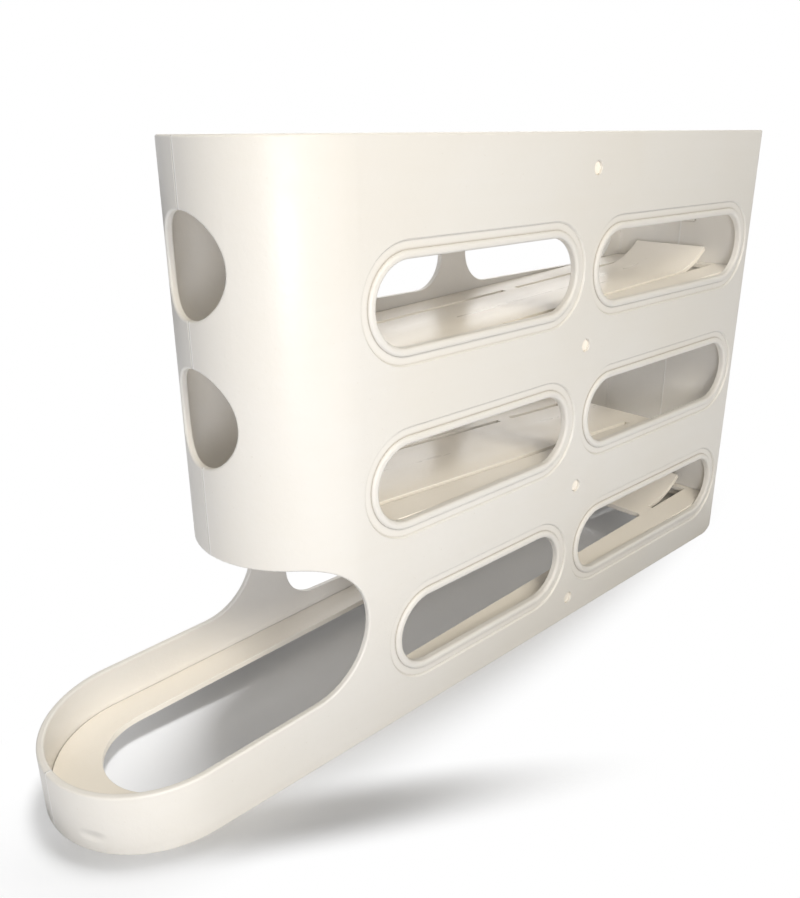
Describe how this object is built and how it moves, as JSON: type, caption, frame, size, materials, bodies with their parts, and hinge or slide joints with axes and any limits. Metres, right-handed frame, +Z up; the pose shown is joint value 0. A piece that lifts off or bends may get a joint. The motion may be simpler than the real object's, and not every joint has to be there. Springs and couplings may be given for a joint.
{
  "type": "rolling egg dispenser",
  "caption": "Free-standing egg dispenser: narrow snap-together plastic casing with a rounded nose, slotted sides and stacked sloping tracks that roll eggs down to an open front tray.",
  "frame": {"origin": "centre of the footprint, on the surface that the casing stands on", "axes": "+Z up, +X from the tray towards the rear wall, +Y across the width towards the left shell"},
  "size_m": [0.341, 0.0728, 0.2],
  "materials": {
    "shell_plastic": "warm white moulded plastic, semi-gloss",
    "track_plastic": "warm white moulded plastic, semi-gloss"
  },
  "bodies": {
    "right_shell": {"right_shell": "shell_plastic"},
    "left_shell": {"left_shell": "shell_plastic"},
    "top_track": {"top_track": "track_plastic"},
    "second_track": {"second_track": "track_plastic"},
    "third_track": {"third_track": "track_plastic"},
    "bottom_track": {"bottom_track": "track_plastic"}
  },
  "joints": [
    {"name": "left_shell_pull", "type": "slide", "parent": "right_shell", "child": "left_shell", "axis": [0, 1, 0], "range_m": [0, 0.09]},
    {"name": "top_track_pull", "type": "slide", "parent": "right_shell", "child": "top_track", "axis": [0, 1, 0], "range_m": [0, 0.045]},
    {"name": "second_track_pull", "type": "slide", "parent": "right_shell", "child": "second_track", "axis": [0, 1, 0], "range_m": [0, 0.045]},
    {"name": "third_track_pull", "type": "slide", "parent": "right_shell", "child": "third_track", "axis": [0, 1, 0], "range_m": [0, 0.045]},
    {"name": "bottom_track_pull", "type": "slide", "parent": "right_shell", "child": "bottom_track", "axis": [0, 1, 0], "range_m": [0, 0.045]}
  ],
  "couplings": [
    {"joint": "top_track_pull", "follows": "left_shell_pull", "ratio": 0.5},
    {"joint": "second_track_pull", "follows": "left_shell_pull", "ratio": 0.5},
    {"joint": "third_track_pull", "follows": "left_shell_pull", "ratio": 0.5},
    {"joint": "bottom_track_pull", "follows": "left_shell_pull", "ratio": 0.5}
  ]
}
